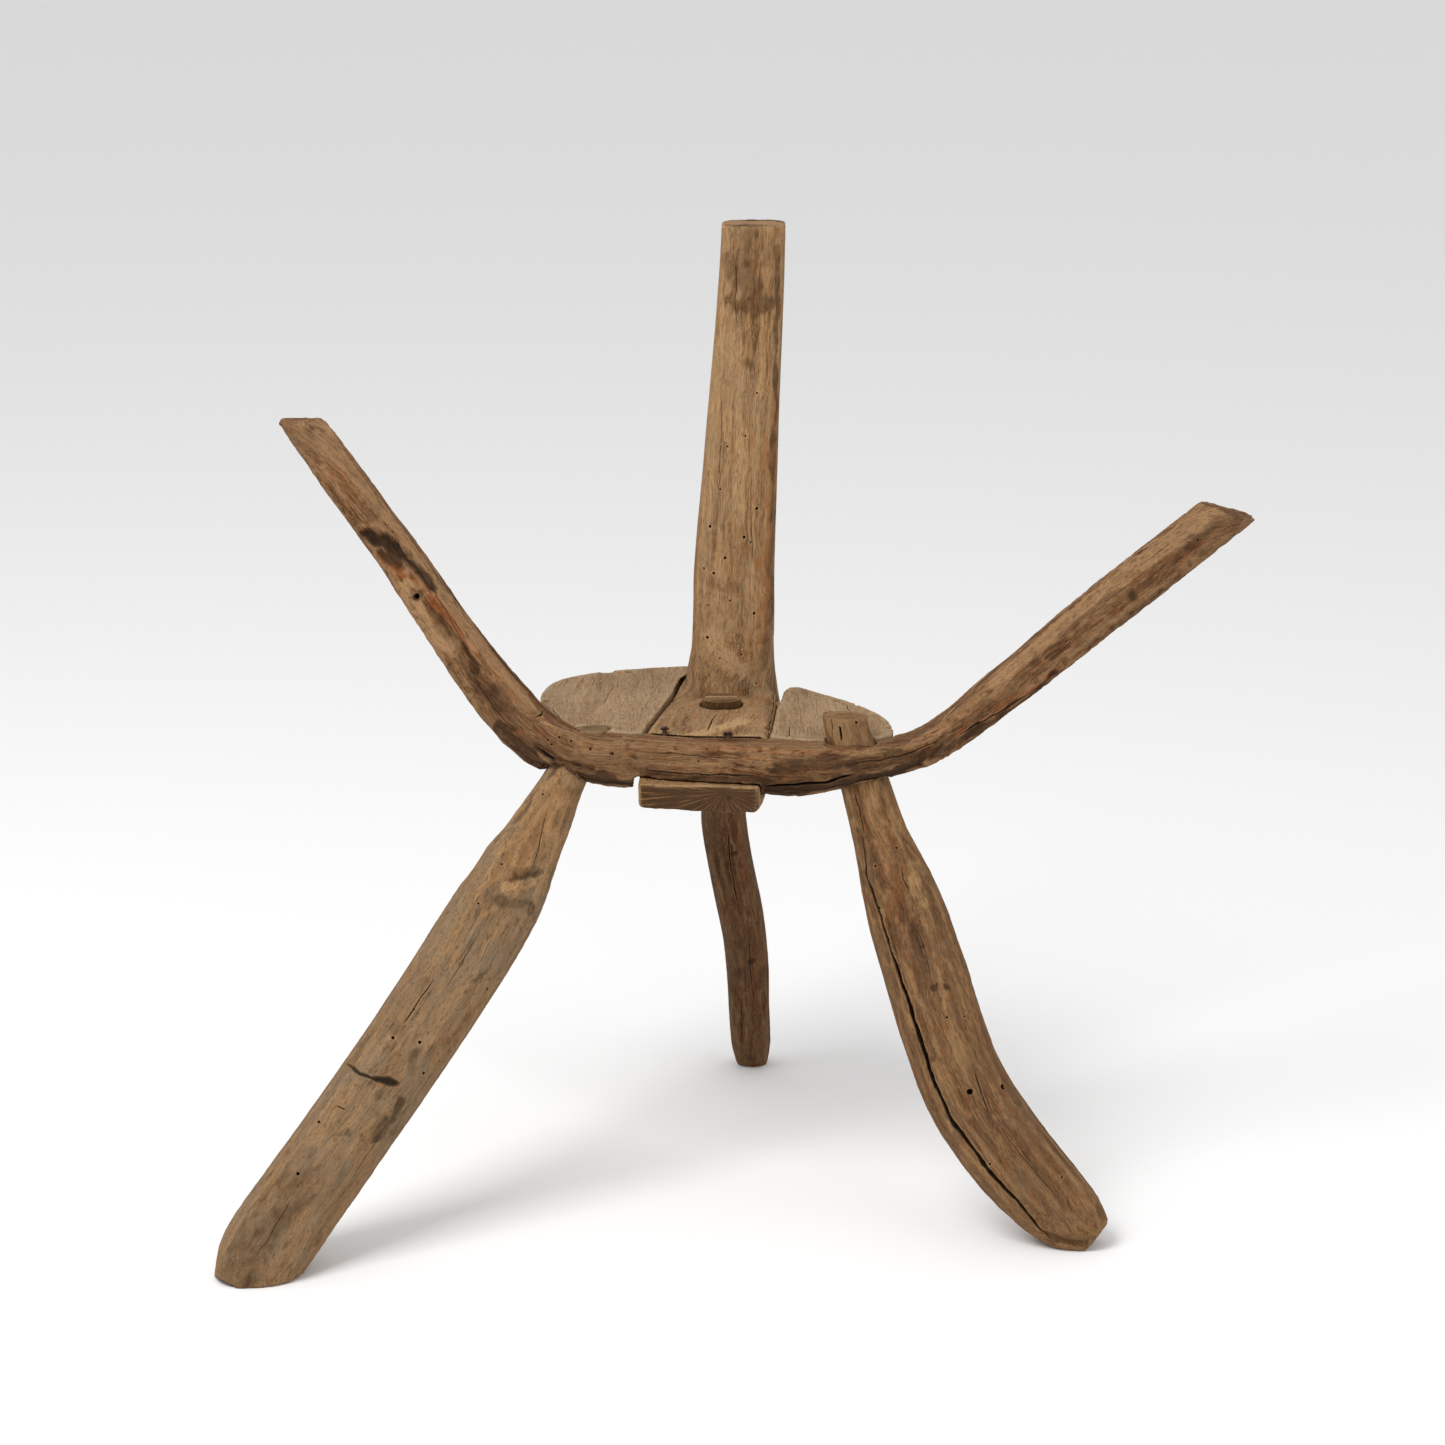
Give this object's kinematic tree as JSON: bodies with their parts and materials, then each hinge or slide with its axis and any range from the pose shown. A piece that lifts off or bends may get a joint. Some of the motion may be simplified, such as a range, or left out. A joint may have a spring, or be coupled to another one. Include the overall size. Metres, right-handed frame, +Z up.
{
  "type": "rustic three-legged wooden stand",
  "caption": "Hand-hewn wooden stand on splayed pegged legs, with a small round board and upright prongs grown from bent branches.",
  "frame": {"origin": "on the ground, under the middle of the bounding box", "axes": "+X from the left prong to the right prong, +Y from the front yoke towards the tall back post, +Z up"},
  "size_m": [0.7847, 0.5228, 0.73],
  "materials": {
    "yoke_wood": "weathered, hewn, matte",
    "crook_wood": "weathered, worn smooth, matte",
    "board_wood": "dry, greyed, matte",
    "leg_wood": "weathered log with shaved tenons, matte",
    "rear_leg_wood": "dark, weathered, matte",
    "peg_wood": "cleft, unfinished",
    "nail_iron": "hand-forged, rusted"
  },
  "bodies": {
    "root": {"front_yoke": "yoke_wood", "back_crook": "crook_wood", "left_board": "board_wood", "right_board": "board_wood", "left_leg": "leg_wood", "right_leg": "leg_wood", "rear_leg": "rear_leg_wood", "rear_tenon_wedge": "peg_wood", "foot_dowel_left_front": "peg_wood", "foot_dowel_left_rear": "peg_wood", "foot_dowel_right_front": "peg_wood", "foot_dowel_right_rear": "peg_wood", "lap_nail_left": "nail_iron", "lap_nail_middle": "nail_iron"}
  },
  "joints": []
}
